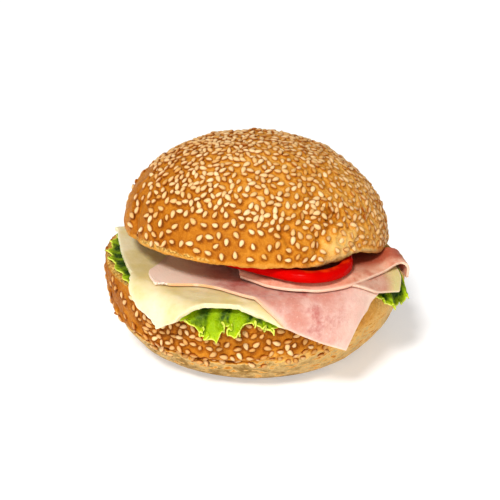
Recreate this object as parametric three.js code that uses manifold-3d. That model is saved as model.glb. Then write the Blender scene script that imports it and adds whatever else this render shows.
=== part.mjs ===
// Ham and cheese roll: a round sesame bread roll cut in two, filled from the
// bottom up with lettuce, a cheese slice, three ham slices and a ring of red
// pepper. Millimetres, +Z up, -Y towards the viewer, origin at the centre of
// the flat base of the bottom half.
import * as THREE from 'three';
import Module from 'manifold-3d';
import { mergeVertices } from 'three/addons/utils/BufferGeometryUtils.js';

const wasm = await Module();
wasm.setup();
const RAD = Math.PI / 180;

// ---- bottom half of the roll ------------------------------------------------
const HEEL_BASE_R = 38;      // radius of the flat underside
const HEEL_R = 59.3;         // widest radius
const HEEL_WIDE_Z = 29.5;    // height of the widest place
const HEEL_ROUND = 1.75;     // roundness of the lower side
const HEEL_CUT_Z = 36;       // height of the cut face at its edge
const HEEL_DISH = 1.8;       // how far the cut face is pressed down in the middle
const HEEL_CUT_R = 57.5;     // radius of the cut face
const SEAM_GROOVE = 0.9;     // depth of the fold between brown crust and pale base

// ---- top half of the roll ---------------------------------------------------
const CROWN_R = 51.0;        // radius at the cut edge
const CROWN_H = 37.6;        // height of the dome above its cut plane
const CROWN_ROUND = 2.07;    // roundness of the dome
const CROWN_DISH = 5.0;      // hollow pressed into the cut face by the fillings
const CROWN_LIP = 1.0;       // how far the crust hangs below the cut plane
const CROWN_AT = [0.1, -2.7, 45.8];
const CROWN_PITCH = -7;      // degrees, front edge lifted by the fillings
const CROWN_ROLL = 2.9;      // degrees, right edge lower

// ---- sesame seeds (length across, width across, height) ----------------------
const SEED = [3.2, 1.9, 1.3];
const SEED_LIFT = 0.02;      // height of a seed's middle above the crust
const CROWN_SEEDS = 108;     // places tried on the top half
const HEEL_SEEDS = 76;       // and round the bottom half
const GOLDEN_ANGLE = 2.399963;

// ---- fillings: thickness and height of the middle face above the cut face ----
const LEAF_T = 0.8, LEAF_H = 1.05;
const LEAF_INNER = 17;       // radius where the leaves end under the cheese
const CHEESE_T = 1.8, CHEESE_H = 2.95;
const HAM_T = 1.0, HAM_LOW_H = 4.95, HAM_MID_H = 6.55, HAM_TOP_H = 8.0;
const DRAPE_S = 56.5;        // distance from the axis where a slice starts to bend down
const DRAPE_R = 3.5;         // radius of that bend for a slice lying on the bread
const DRAPE_MOST = 84;       // degrees, steepest hang of a slice
const FOLD_R = 3.0;          // bend of the top ham slice over the right edge
const FOLD_RUN = 62;         // its length before that bend
const FOLD_TURN = 95;        // degrees it turns down
const FOLD_LIP = 3.2;        // straight lip after the bend

// ---- red pepper ring ----------------------------------------------------------
const PEPPER_AT = [11.6, -25.6, 44.73];
const PEPPER_R = 26.3;       // mean outer radius
const PEPPER_LOBE = 3.3;     // how far its three lobes stand out
const PEPPER_WALL = 4.8;     // thickness of the flesh
const PEPPER_TALL = 4.2;     // height of the ring
const PEPPER_PITCH = -1.2;   // degrees, leaning with the top half
const PEPPER_ROLL = 1.2;

const group = new THREE.Group();
group.name = 'ham_cheese_roll';

// ---- small tools ----------------------------------------------------------------
const clamp = t => Math.min(1, Math.max(0, t));
const bell = t => Math.exp(-t * t);
function ramp(a, b, x) {
  const t = clamp((x - a) / (b - a));
  return t * t * (3 - 2 * t);
}
const bump = (x, y, cx, cy, w) => bell(Math.hypot(x - cx, y - cy) / w);
const turn = a => Math.atan2(Math.sin(a), Math.cos(a));
const vectors = points => points.map(([x, y]) => new THREE.Vector2(x, y));

// repeatable random numbers from 0 to 1
function dice(seed) {
  let state = seed >>> 0;
  return () => {
    state = (Math.imul(state, 1664525) + 1013904223) >>> 0;
    return state / 4294967296;
  };
}

// joins equal corners and drops the triangles that have no area
function closed(geometry) {
  geometry.deleteAttribute('normal');
  geometry.deleteAttribute('uv');
  const g = mergeVertices(geometry, 1e-4);
  const old = g.index.array;
  const kept = [];
  for (let i = 0; i < old.length; i += 3) {
    const [a, b, c] = [old[i], old[i + 1], old[i + 2]];
    if (a !== b && b !== c && c !== a) kept.push(a, b, c);
  }
  g.setIndex(kept);
  return g;
}
function toSolid(g) {
  const vertProperties = new Float32Array(g.attributes.position.array);
  const triVerts = new Uint32Array(g.index.array);
  return new wasm.Manifold(new wasm.Mesh({ numProp: 3, vertProperties, triVerts }));
}
function indexed(positions, triangles) {
  const g = new THREE.BufferGeometry();
  g.setAttribute('position', new THREE.BufferAttribute(new Float32Array(positions), 3));
  g.setIndex(Array.from(triangles));
  return g;
}
function fromSolid(solid) {
  const mesh = solid.getMesh();
  return indexed(mesh.vertProperties, mesh.triVerts);
}
function addPiece(name, geometry, colour, roughness) {
  geometry.computeVertexNormals();
  const skin = new THREE.MeshStandardMaterial({ color: colour, roughness, name: name + '_skin' });
  const mesh = new THREE.Mesh(geometry, skin);
  mesh.name = name;
  group.add(mesh);
}

// a body turned round the Z axis from a closed [radius, height] profile that
// starts and ends on the axis; shape(point, angle) then moves every corner
function turned(profile, segments, shape) {
  const lathe = new THREE.LatheGeometry(vectors(profile), segments);
  lathe.rotateX(Math.PI / 2);
  const g = closed(lathe);
  const p = g.attributes.position;
  const v = new THREE.Vector3();
  for (let i = 0; i < p.count; i++) {
    v.fromBufferAttribute(p, i);
    shape(v, Math.atan2(v.y, v.x));
    p.setXYZ(i, v.x, v.y, v.z);
  }
  return g;
}

// a thin sheet: at(u, v) is its middle face, both faces share one grid
function sheet(at, us, vs, thick) {
  const nu = us.length;
  const nv = vs.length;
  const step = 1e-3;
  const positions = [];
  for (const side of [0.5, -0.5]) for (const v of vs) for (const u of us) {
    const p = at(u, v);
    const along = at(clamp(u + step), v).sub(at(clamp(u - step), v));
    const across = at(u, clamp(v + step)).sub(at(u, clamp(v - step)));
    p.addScaledVector(along.cross(across).normalize(), side * thick);
    positions.push(p.x, p.y, p.z);
  }
  const id = (face, i, j) => face * nu * nv + j * nu + i;
  const triangles = [];
  const quad = (a, b, c, d) => triangles.push(a, b, c, a, c, d);
  for (let j = 0; j < nv - 1; j++) for (let i = 0; i < nu - 1; i++) {
    quad(id(0, i, j), id(0, i + 1, j), id(0, i + 1, j + 1), id(0, i, j + 1));
    triangles.push(id(1, i, j), id(1, i + 1, j + 1), id(1, i + 1, j));
    triangles.push(id(1, i, j), id(1, i, j + 1), id(1, i + 1, j + 1));
  }
  for (let i = 0; i < nu - 1; i++) {
    quad(id(0, i, 0), id(1, i, 0), id(1, i + 1, 0), id(0, i + 1, 0));
    quad(id(0, i + 1, nv - 1), id(1, i + 1, nv - 1), id(1, i, nv - 1), id(0, i, nv - 1));
  }
  for (let j = 0; j < nv - 1; j++) {
    quad(id(0, 0, j + 1), id(1, 0, j + 1), id(1, 0, j), id(0, 0, j));
    quad(id(0, nu - 1, j), id(1, nu - 1, j), id(1, nu - 1, j + 1), id(0, nu - 1, j + 1));
  }
  return indexed(positions, triangles);
}
const steps = n => Array.from({ length: n + 1 }, (_, i) => i / n);

// fills a four-sided outline on the flat, given as front, back, left and right
// edges (each a list of [x, y] from left to right or from front to back)
function outline(front, back, left, right) {
  const [f, b, l, r] = [front, back, left, right].map(edge => new THREE.SplineCurve(vectors(edge)));
  const [frontLeft, backLeft] = [f.getPoint(0), b.getPoint(0)];
  const [frontRight, backRight] = [f.getPoint(1), b.getPoint(1)];
  return (u, v) => {
    const p = f.getPointAt(u).multiplyScalar(1 - v);
    p.addScaledVector(b.getPointAt(u), v);
    p.addScaledVector(l.getPointAt(v), 1 - u);
    p.addScaledVector(r.getPointAt(v), u);
    p.addScaledVector(frontLeft, -(1 - u) * (1 - v));
    p.addScaledVector(frontRight, -u * (1 - v));
    p.addScaledVector(backLeft, -(1 - u) * v);
    p.addScaledVector(backRight, -u * v);
    return [p.x, p.y];
  };
}

// lays the flat point (x, y) on the bread at height h above the cut face; past
// the edge the slice bends down round the rim, to at most `most` degrees; the
// bend starts `shelf` mm further out where a bunch of lettuce holds it up
const heelTop = r => HEEL_CUT_Z - HEEL_DISH * (1 - clamp(r / HEEL_CUT_R) ** 2);
function drape(x, y, h, most = DRAPE_MOST, bend = DRAPE_R, shelf = 0) {
  const s = Math.hypot(x, y);
  const start = DRAPE_S + shelf;
  const top = heelTop(Math.min(s, start));
  if (s <= start) return new THREE.Vector3(x, y, top + h);
  const a = Math.min((s - start) / bend, most * RAD);
  const rest = s - start - bend * a;
  const r = start + (bend + h) * Math.sin(a) + rest * Math.cos(a);
  const z = top - bend + (bend + h) * Math.cos(a) - rest * Math.sin(a);
  return new THREE.Vector3(x / s * r, y / s * r, z);
}
const shelf = (x, y) => 6.5 * bell(turn(Math.atan2(y, x) + 103 * RAD) / (14 * RAD));

// the lettuce pushes cheese and ham up a little here
const swell = (x, y) => 1.4 * bump(x, y, -12, -58, 13) + 0.9 * bump(x, y, -40, -36, 14)
  + 0.3 * (1 + Math.sin(0.13 * x + 0.09 * y)) * bump(x, y, 0, -30, 45);
// and towards the right, past the cheese, the ham lies lower
const sink = x => -1.8 * ramp(33, 45, x);

// ---- sesame seed fused to a crust ------------------------------------------------
function seedAt(point, normal, spin, size) {
  const g = closed(new THREE.SphereGeometry(0.5, 6, 3));
  g.rotateX(Math.PI / 2);
  const p = g.attributes.position;
  for (let i = 0; i < p.count; i++) p.setX(i, p.getX(i) * (1 - 0.35 * p.getY(i)));
  const up = new THREE.Vector3(0, 0, 1);
  const lie = new THREE.Quaternion().setFromUnitVectors(up, normal);
  lie.multiply(new THREE.Quaternion().setFromAxisAngle(up, spin));
  const scale = new THREE.Vector3(SEED[1], SEED[0], SEED[2]).multiplyScalar(size);
  g.applyMatrix4(new THREE.Matrix4().compose(point, lie, scale));
  return toSolid(g);
}
// seeds spread evenly by a golden-angle spiral, kept where allow() agrees
function seeded(body, place, count, allow, seed) {
  const rnd = dice(seed);
  const solids = [toSolid(body)];
  const step = 1e-3;
  for (let i = 0; i < count; i++) {
    const a = (i + 0.5) / count;
    const phi = turn(i * GOLDEN_ANGLE + (rnd() - 0.5) * 0.5 / Math.sqrt(i + 1));
    const spin = rnd() * Math.PI * 2;
    const size = 0.92 + rnd() * 0.2;
    if (!allow(phi, a)) continue;
    const round = place(phi + step, a).sub(place(phi - step, a));
    const upward = place(phi, a - step).sub(place(phi, a + step));
    const normal = round.cross(upward).normalize();
    solids.push(seedAt(place(phi, a).addScaledVector(normal, SEED_LIFT), normal, spin, size));
  }
  return fromSolid(wasm.Manifold.union(solids));
}

// ---- bottom half: pale flat base, brown shoulder, cut face on top ---------------
function heelSide(z) {
  if (z > HEEL_WIDE_Z) return HEEL_R * Math.sqrt(1 - ((z - HEEL_WIDE_Z) / 60) ** 2);
  const low = (1 - z / HEEL_WIDE_Z) ** HEEL_ROUND;
  return HEEL_BASE_R + (HEEL_R - HEEL_BASE_R) * (1 - low) ** (1 / HEEL_ROUND);
}
// height where the brown crust meets the pale base
const seamZ = phi => 18.6 - 4.4 * Math.cos(phi + 2.15) + 3.2 * Math.cos(2 * phi + 1.1)
  + 4 * bell(turn(phi + 2.35) / 0.45) + 2.5 * bell(turn(phi + 1.6) / 0.5);
// uneven baking, the fold along the seam at the left, and the flatter back right
function heelBulge(phi, z) {
  const soft = 0.35 * Math.sin(3 * phi + 0.6) + 0.3 * Math.sin(5 * phi + 2.1)
    + 0.25 * Math.sin(2 * phi - 0.09 * z);
  const left = ramp(0.15, 0.75, Math.cos(phi + 2.5));
  const over = z - seamZ(phi);
  const flatter = -5.8 * bell(turn(phi - 0.32) / 0.46) * ramp(-0.15, 0.1, phi) * ramp(6, 26, z);
  return ramp(1, 8, z) * ramp(36.5, 31, z) * soft + flatter
    + left * (0.5 * bell((over - 2.6) / 2.2) - SEAM_GROOVE * bell((over + 0.6) / 1.3));
}
{
  const rings = [0, 2.2, 5, 8.5, 12, 15.5, 19.5, 24, 29, 33.4];
  const side = rings.map(z => [heelSide(z), z]);
  const rim = [[HEEL_R - 0.9, HEEL_CUT_Z - 0.7], [HEEL_R - 2.6, HEEL_CUT_Z]];
  const cut = [48, 28, 0].map(r => [r, heelTop(r)]);
  const body = turned([[0, 0], [22, 0], ...side, ...rim, ...cut], 48, (v, phi) => {
    const r = Math.hypot(v.x, v.y);
    if (v.z < 0.01 || (r < HEEL_R - 14 && v.z > 30)) return;
    const k = 1 + heelBulge(phi, v.z) / r;
    v.x *= k;
    v.y *= k;
  });
  const seedZ = a => 33.5 - 22 * a;
  const place = (phi, a) => {
    const r = heelSide(seedZ(a)) + heelBulge(phi, seedZ(a));
    return new THREE.Vector3(r * Math.cos(phi), r * Math.sin(phi), seedZ(a));
  };
  // the pale base and the left side carry none
  const allow = (phi, a) => seedZ(a) > seamZ(phi) + 2.5 && Math.cos(phi - 2.95) < 0.72;
  addPiece('heel', seeded(body, place, HEEL_SEEDS, allow, 11), 0xd9a05f, 0.75);
}

// ---- top half: a dome with a hollow pressed into its cut face ----------------------
const crownSide = z => CROWN_R * (1 - clamp(z / CROWN_H) ** CROWN_ROUND) ** (1 / CROWN_ROUND);
// dents, the folded left side and the crease low on the right, in mm
function crownBulge(phi, z) {
  const soft = 0.5 * Math.sin(2 * phi + 1.0) + 0.35 * Math.sin(5 * phi + 0.08 * z)
    + 0.3 * Math.sin(3 * phi - 0.1 * z);
  const fold = -1.0 * bell(turn(phi + 2.7) / 0.05) * ramp(30, 12, z);
  const dent = -1.1 * bell(turn(phi + 0.98 + 0.012 * z) / 0.06) * ramp(28, 16, z)
    - 0.8 * bell(turn(phi + 0.72) / 0.09) * bell((z - 1) / 5);
  const flat = -1.3 * bell(turn(phi) / 0.7) * bell((z - 26) / 10);
  return ramp(-1, 3, z) * soft * ramp(38, 25, z) + fold + dent + flat;
}
// the cut edge arches up low on the right, over the pepper
const rimLift = (phi, z) => 2.4 * bell(turn(phi + 0.72) / 0.2) * bell(z / 7);
{
  const heights = [1.6, 5.4, 10.8, 16, 21, 25.4, 29.2, 32.5, 35, 36.8, CROWN_H - 0.25];
  const dome = [...heights.map(z => [crownSide(z), z]), [0, CROWN_H]];
  const under = r => [r, CROWN_DISH * (1 - (r / 48.5) ** 5) - CROWN_LIP * 0.6];
  const lip = [[48.5, -CROWN_LIP], [50.6, -CROWN_LIP], [CROWN_R - 0.25, 0.1]];
  const body = turned([under(0), under(16), under(30), under(42), ...lip, ...dome], 50, (v, phi) => {
    const r = Math.hypot(v.x, v.y);
    if (r < 0.01) return;
    // behind the pepper the bread sinks back onto the cheese
    if (r < 45 && v.z < CROWN_DISH) v.z -= CROWN_DISH * ramp(8, 28, v.y) * (1 - (r / 48.5) ** 5);
    const outside = v.z > 1 || r > 49;
    const k = outside ? 1 + crownBulge(phi, v.z) * ramp(0, 20, r) / r : 1;
    v.x *= k;
    v.y *= k;
    if (r > 45) v.z += rimLift(phi, v.z);
  });
  const place = (phi, a) => {
    const fromTop = 86 * RAD * Math.sqrt(a) * (0.9 + 0.1 * a);
    const z = CROWN_H * Math.cos(fromTop) ** 0.97;
    const r = crownSide(z) + crownBulge(phi, z) * ramp(0, 20, crownSide(z));
    return new THREE.Vector3(r * Math.cos(phi), r * Math.sin(phi), z + rimLift(phi, z));
  };
  // none on the low rim, the left lobe and the smooth patch low on the right
  const allow = (phi, a) => a < 0.9 && (a < 0.38 || Math.cos(phi - 2.96) < 0.86)
    && (a < 0.69 || Math.abs(turn(phi + 0.86)) > 0.22);
  const crown = seeded(body, place, CROWN_SEEDS, allow, 5);
  crown.rotateX(CROWN_PITCH * RAD);
  crown.rotateY(CROWN_ROLL * RAD);
  crown.translate(...CROWN_AT);
  addPiece('crown', crown, 0xd49a55, 0.7);
}

// ---- lettuce: three ruffled pieces of leaf, flat under the cheese --------------------
// angles in degrees round the axis; edge(phi) is how far the leaf reaches,
// free(phi) where it comes out from under the cheese and starts to ruffle
function leaf(name, { from, to, cols, rows, edge, free, most, turns, shift, high, colour }) {
  const at = (u, v) => {
    const phi = from + (to - from) * u;
    const a = phi * RAD;
    const tip = Math.min(1, 1.25 * Math.sqrt(Math.sin(Math.PI * clamp(u))));
    const out = 57 + (edge(phi) - 57) * tip + 0.8 * Math.sin(u * cols * 2.2) * v * tip;
    const loose = Math.min(56, out - 3);
    const s = v < 0.4 ? LEAF_INNER + (loose - LEAF_INNER) * v / 0.4
      : loose + (out - loose) * (v - 0.4) / 0.6;
    const [x, y] = [s * Math.cos(a), s * Math.sin(a)];
    const frill = 0.58 + 0.27 * Math.sin(a * turns + shift + 1.1 * v) + 0.13 * Math.sin(a * turns * 1.9 + 1.3);
    const lift = high * ramp(free(phi), free(phi) + 5, s) + 0.3 * swell(x, y) * ramp(52, 57, s);
    return drape(x, y, LEAF_H + frill * lift, most(phi), DRAPE_R + 0.8);
  };
  addPiece(name, sheet(at, steps(cols), rows, LEAF_T), colour, 0.5);
}
leaf('lettuce_left', {
  from: 221, to: 112, cols: 38, rows: [0, 0.25, 0.4, 0.6, 0.8, 1],
  edge: phi => 58.4 + 2.8 * ramp(206, 220, phi),
  free: phi => 54.4 + 4 * bell((phi - 163) / 9) + 7 * ramp(192, 215, phi) - 3 * ramp(152, 140, phi),
  most: () => 75, turns: 37, shift: 0.4, high: 1.6, colour: 0x6f9c2a });
leaf('lettuce_front', {
  from: -72.5, to: -121, cols: 26, rows: [0, 0.25, 0.4, 0.54, 0.68, 0.83, 1],
  edge: phi => 63 + 3.6 * bell((phi + 104) / 6) + 2 * bell((phi + 116) / 5),
  free: phi => 59.5 + 7 * ramp(-88, -78, phi) + 6 * ramp(-110, -119, phi),
  most: () => 80, turns: 44, shift: 0, high: 2.8, colour: 0x9cc43c });
leaf('lettuce_right', {
  from: 60, to: -56, cols: 40, rows: [0, 0.25, 0.4, 0.6, 0.8, 1],
  edge: phi => 57.6 + 12.4 * bell((phi + 37) / 9) - 2.2 * ramp(-20, -8, phi) - 4.4 * ramp(-6, 8, phi),
  free: phi => 59 - 9 * ramp(-6, 8, phi),
  most: phi => 78 - 28 * ramp(-15, 20, phi), turns: 35, shift: 1.2, high: 1.7, colour: 0x6f9c2a });

// ---- cheese slice: its front corner hangs over the left of the rim --------------------
{
  const flat = outline(
    [[-37.4, -57.2], [-27.6, -58.6], [-14, -61.2], [-3, -61.9], [8.7, -62.2], [18, -63.6], [26, -63.2],
      [32.5, -60.5]],
    [[-55.8, 14.6], [-30, 22], [-2, 29], [24, 33]],
    [[-37.4, -57.2], [-38.6, -51.2], [-44.2, -39.8], [-50.4, -16.5], [-53.7, -0.6], [-55.8, 14.6]],
    [[32.5, -60.5], [32.2, -50], [31.8, -40], [30, -8], [24, 33]]);
  const at = (u, v) => {
    const [x, y] = flat(u, v);
    return drape(x, y, CHEESE_H + swell(x, y), DRAPE_MOST, DRAPE_R, shelf(x, y));
  };
  const rows = [0, 0.03, 0.06, 0.095, 0.138, 0.208, 0.315, 0.46, 0.63, 0.81, 1];
  addPiece('cheese_slice', sheet(at, steps(17), rows, CHEESE_T), 0xf0dfa0, 0.55);
}

// ---- lower ham slice: its right corner hangs over the rim -------------------------------
{
  const flat = outline(
    [[-35, -45.8], [-22, -45], [-14.5, -48.8], [-8, -54.5], [0, -59.4], [9.8, -61.4], [15.6, -63.2],
      [25.1, -64.8], [36.2, -64.6]],
    [[-33.6, -23.5], [-29, 4], [-10, 24], [14, 29], [36, 16], [47, -2], [51, -18]],
    [[-35, -45.8], [-38.3, -40.8], [-39.2, -33], [-33.6, -23.5]],
    [[36.2, -64.6], [37.4, -52.8], [39.4, -46.6], [43.6, -41], [48.5, -32], [51, -18]]);
  const at = (u, v) => {
    const [x, y] = flat(u, v);
    const s = Math.hypot(x, y);
    const hang = 0.4 * ramp(55.5, 60.5, s) + 0.4 * ramp(60, 70, s) * (1 + Math.sin(0.22 * x + 0.6));
    return drape(x, y, HAM_LOW_H + swell(x, y) + sink(x) + hang, DRAPE_MOST, DRAPE_R, shelf(x, y));
  };
  const rows = [0, 0.033, 0.066, 0.1, 0.135, 0.18, 0.26, 0.42, 0.68, 1];
  addPiece('ham_low', sheet(at, steps(20), rows, HAM_T), 0xe9b3a4, 0.5);
}

// ---- middle ham slice: shows at the right, under the fold ----------------------------------
{
  const flat = outline(
    [[4, -46.5], [14, -50], [24, -50.2], [32, -47.6], [39.9, -44.8], [45, -42.5], [52.2, -38.2]],
    [[2, 6], [18, 12], [36, 4], [51, -16]],
    [[4, -46.5], [0, -20], [2, 6]],
    [[52.2, -38.2], [52.4, -30], [51, -16]]);
  const at = (u, v) => {
    const [x, y] = flat(u, v);
    return drape(x, y, HAM_MID_H + swell(x, y) + sink(x), 40, 6);
  };
  addPiece('ham_mid', sheet(at, steps(13), steps(8), HAM_T), 0xeec9ab, 0.5);
}

// ---- top ham slice: runs to the right and turns down over the edge ---------------------------
{
  const front = new THREE.SplineCurve(vectors([[-5.4, -41.5], [-0.5, -46], [4.5, -50.4], [12.5, -53.2],
    [19.4, -53.6], [25.5, -52], [33.8, -47.6], [42.9, -39.2], [52.6, -27.6]]));
  const back = new THREE.SplineCurve(vectors([[-10, -2], [8, 4], [28, 0], [42, -9], [52.6, -17.5]]));
  const bent = FOLD_R * FOLD_TURN * RAD;
  const whole = FOLD_RUN + bent + FOLD_LIP;
  const at = (u, v) => {
    const run = u * whole;
    const w = clamp(run / FOLD_RUN);
    const { x, y } = front.getPointAt(w).lerp(back.getPointAt(w), v);
    const p = drape(x, y, HAM_TOP_H + swell(x, y) + sink(x) + 1.6 * ramp(47, 52, x), 30, 8);
    const past = run - FOLD_RUN;
    if (past > 0) {
      const a = Math.min(past, bent) / FOLD_R;
      const rest = Math.max(0, past - bent);
      p.x += FOLD_R * Math.sin(a) + rest * Math.cos(a);
      p.y += 0.25 * past * (0.5 - v);
      p.z -= FOLD_R * (1 - Math.cos(a)) + rest * Math.sin(a);
    }
    return p;
  };
  const columns = [...steps(13).map(t => t * FOLD_RUN / whole), 0.872, 0.895, 0.918, 0.95, 1];
  addPiece('ham_top', sheet(at, columns, steps(7), HAM_T), 0xe2a394, 0.5);
}

// ---- pepper ring: a wall with three lobes and rounded edges ------------------------------------
{
  const SIDES = 38;
  const section = [[0, 0.15], [0.5, 0], [0.92, 0.05], [1, 0.3], [1, 0.75], [0.85, 1], [0.1, 0.97]];
  const positions = [];
  for (let i = 0; i < SIDES; i++) {
    const a = i / SIDES * Math.PI * 2;
    const three = Math.cos(3 * (a - 302 * RAD));
    const outer = PEPPER_R + PEPPER_LOBE * three + Math.cos(a - 330 * RAD);
    for (const [w, h] of section) {
      const r = outer - (PEPPER_WALL - 0.8 * three) * (1 - w) + 0.5 * Math.sin(Math.PI * h) * w;
      positions.push(r * Math.cos(a), r * Math.sin(a), PEPPER_TALL * h);
    }
  }
  const triangles = [];
  const corner = (i, k) => (i % SIDES) * section.length + (k % section.length);
  for (let i = 0; i < SIDES; i++) for (let k = 0; k < section.length; k++) {
    const [a, b, c, d] = [corner(i, k), corner(i + 1, k), corner(i + 1, k + 1), corner(i, k + 1)];
    triangles.push(a, b, c, a, c, d);
  }
  const ring = indexed(positions, triangles);
  ring.rotateX(PEPPER_PITCH * RAD);
  ring.rotateY(PEPPER_ROLL * RAD);
  ring.translate(...PEPPER_AT);
  addPiece('pepper_ring', ring, 0xc81208, 0.3);
}

export default group;
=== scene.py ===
"""Ham and cheese roll: a sesame bread roll with lettuce, cheese, ham and red pepper.

Blender 4.5. Shapes are worked out in millimetres and made into metres when a
piece is finished. +Z is up, -Y towards the viewer, origin under the roll. The
angle phi runs round the roll from +X, so the viewer looks at -pi / 2.
"""

import math
import random

import bmesh
import bpy
from mathutils import Matrix, Vector, kdtree, noise


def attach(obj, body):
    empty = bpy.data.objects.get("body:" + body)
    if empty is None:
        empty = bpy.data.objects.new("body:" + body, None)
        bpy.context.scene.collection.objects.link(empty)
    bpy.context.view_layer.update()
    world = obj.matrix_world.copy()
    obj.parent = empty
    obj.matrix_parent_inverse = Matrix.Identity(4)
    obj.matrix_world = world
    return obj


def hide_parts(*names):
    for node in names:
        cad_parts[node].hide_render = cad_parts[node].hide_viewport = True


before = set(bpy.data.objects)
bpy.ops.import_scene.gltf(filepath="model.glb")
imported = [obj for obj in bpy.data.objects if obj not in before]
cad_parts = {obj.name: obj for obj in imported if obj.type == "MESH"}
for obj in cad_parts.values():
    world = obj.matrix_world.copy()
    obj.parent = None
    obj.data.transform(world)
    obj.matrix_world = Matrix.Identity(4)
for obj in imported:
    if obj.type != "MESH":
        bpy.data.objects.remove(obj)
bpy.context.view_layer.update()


# ---- Bottom half of the roll ------------------------------------------------
# A round of baked dough with a flat base: brown crust on the shoulder, pale
# and floury below the seam, where it lay against its neighbours in the oven.
# It was sliced level, so its top is soft cream crumb.
MM = 0.001
HEEL_BASE_R = 38.0
HEEL_R = 59.3
HEEL_WIDE_Z = 29.5  # height of the widest ring
HEEL_ROUND = 1.75  # power of the curve from the base to the widest ring
HEEL_BEND = 60.0  # half height of the oval above the widest ring
HEEL_SIDE_Z = 35.2  # top of the baked side
HEEL_CUT_Z = 36.0
HEEL_CUT_R = 57.5
HEEL_DISH = 1.8  # how far the cut face sinks in the middle
HEEL_FLATTER = 5.8  # at the back right, which stays behind the ham
HEEL_ROWS = 84
HEEL_STEPS = 460
SEAM_GROOVE = 1.2
DIMPLE_DEEP = 2.1
DIMPLES = [(-161.5, 25.6, 1.3, 2.6), (-157.5, 21.0, 1.5, 1.8)]  # angle, height, half sizes
SEED_BAND_Z = 34.5  # top of the band of seeds round the side
SEED_BAND_DEEP = 26.0
HEEL_SHADE = Vector((0, 0, 0.4))  # from the darkest point of a seed's painted shadow to the seed above it
SIDE_TRIES = 8000


def ramp(low, high, x):
    t = min(1.0, max(0.0, (x - low) / (high - low)))
    return t * t * (3 - 2 * t)


def bell(t):
    return math.exp(-t * t)


def turn(angle):
    return math.atan2(math.sin(angle), math.cos(angle))


def cloud(x, y, z, size, octaves=3):
    """Soft noise from about -1 to 1 whose lumps are size millimetres wide."""
    return noise.fractal(Vector((x, y, z)) / size, 0.7, 2.0, octaves)


def heel_side(z):
    """Radius of the side at height z."""
    if z > HEEL_WIDE_Z:
        return HEEL_R * math.sqrt(1 - ((z - HEEL_WIDE_Z) / HEEL_BEND) ** 2)
    low = (1 - z / HEEL_WIDE_Z) ** HEEL_ROUND
    return HEEL_BASE_R + (HEEL_R - HEEL_BASE_R) * (1 - low) ** (1 / HEEL_ROUND)


def heel_top(r):
    """Height of the cut face at radius r."""
    return HEEL_CUT_Z - HEEL_DISH * (1 - min(1, r / HEEL_CUT_R) ** 2)


def seam_z(phi):
    """Height where the brown crust meets the pale base."""
    return (18.6 - 4.4 * math.cos(phi + 2.15) + 3.2 * math.cos(2 * phi + 1.1)
            + 4 * bell(turn(phi + 2.35) / 0.45) + 2.5 * bell(turn(phi + 1.6) / 0.5))


def dimpled(phi, z):
    """1 in the middle of the two dimples at the left, 0 away from them."""
    return sum(bell(turn(phi - math.radians(a)) * HEEL_R / w) * bell((z - at) / h)
               for a, at, w, h in DIMPLES)


def heel_bulge(phi, z):
    """How far the side stands out from an even round."""
    soft = (0.35 * math.sin(3 * phi + 0.6) + 0.3 * math.sin(5 * phi + 2.1)
            + 0.25 * math.sin(2 * phi - 0.09 * z))
    waves = ramp(1, 8, z) * ramp(36.5, 31, z) * soft
    back_right = bell(turn(phi - 0.32) / 0.46) * ramp(-0.15, 0.1, phi) * ramp(6, 26, z)
    left = ramp(0.15, 0.75, math.cos(phi + 2.5))
    over = z - seam_z(phi)
    fold = 0.9 * bell((over - 2.0) / 1.6) - SEAM_GROOVE * bell((over + 0.6) / 0.8)
    return waves - HEEL_FLATTER * back_right + left * fold - DIMPLE_DEEP * dimpled(phi, z)


def heel_spot(phi, z):
    """A point on the baked side of the bottom half."""
    r = heel_side(z) + heel_bulge(phi, z)
    x, y = r * math.cos(phi), r * math.sin(phi)
    rough = ramp(0, 4, z) * ramp(36, 34, z) * (0.4 * cloud(x, y, z, 11) + 0.12 * cloud(x, y, z, 2.6))
    return Vector((x, y, z)) * (1 + rough / r)


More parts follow.
